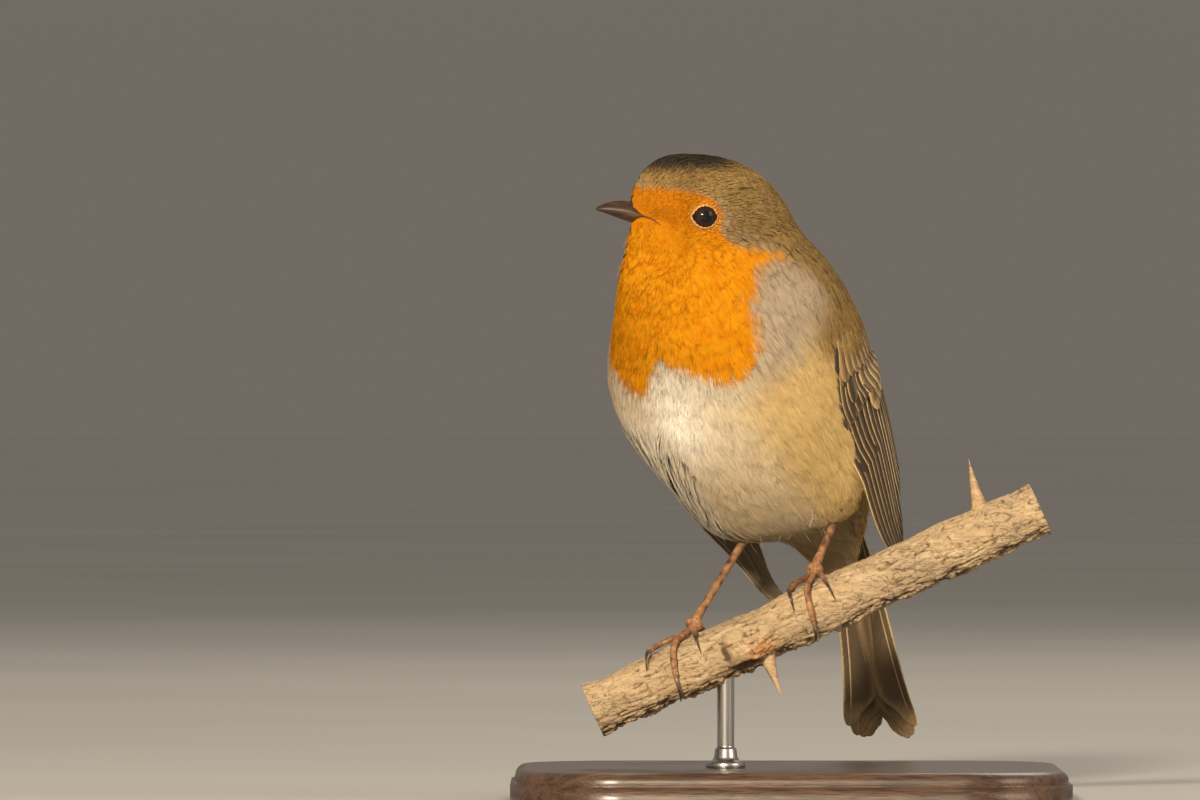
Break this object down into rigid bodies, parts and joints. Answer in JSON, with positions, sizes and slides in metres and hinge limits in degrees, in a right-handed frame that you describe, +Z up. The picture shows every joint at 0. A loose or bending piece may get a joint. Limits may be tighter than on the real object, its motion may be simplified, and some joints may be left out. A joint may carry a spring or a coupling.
{
  "type": "european robin",
  "caption": "Life-size still model of a European robin gripping a cut length of thorny branch, held over a flat base by a short rod.",
  "frame": {"origin": "centre of the display base's underside", "axes": "+Z up, +X towards the higher end of the perch, -Y the side that the bird's breast mostly faces"},
  "size_m": [0.13, 0.11, 0.1504],
  "materials": {
    "plumage": "soft contour feathers, orange, olive brown, blue-grey and cream",
    "flight_feathers": "stiff smooth vanes with pale edges",
    "eye": "wet gloss",
    "bill": "satin horn",
    "leg_scales": "smooth scaled skin, satin",
    "claw": "satin horn",
    "bark": "rough weathered bark",
    "stand_wood": "dark stained, satin lacquer",
    "stand_steel": "brushed"
  },
  "bodies": {
    "root": {"head": "plumage", "eye_left": "eye", "eye_right": "eye", "bill_upper": "bill", "bill_lower": "bill", "neck": "plumage", "trunk": "plumage", "rump": "plumage", "wing_left": "flight_feathers", "wing_right": "flight_feathers", "tail": "flight_feathers", "perch": "bark", "stand_rod": "stand_steel", "stand_base": "stand_wood", "tarsus_right": "leg_scales", "toe_right_1": "leg_scales", "claw_right_1": "claw", "toe_right_2": "leg_scales", "claw_right_2": "claw", "toe_right_3": "leg_scales", "claw_right_3": "claw", "toe_right_4": "leg_scales", "claw_right_4": "claw", "tarsus_left": "leg_scales", "toe_left_1": "leg_scales", "claw_left_1": "claw", "toe_left_2": "leg_scales", "claw_left_2": "claw", "toe_left_3": "leg_scales", "claw_left_3": "claw", "toe_left_4": "leg_scales", "claw_left_4": "claw"}
  },
  "joints": []
}
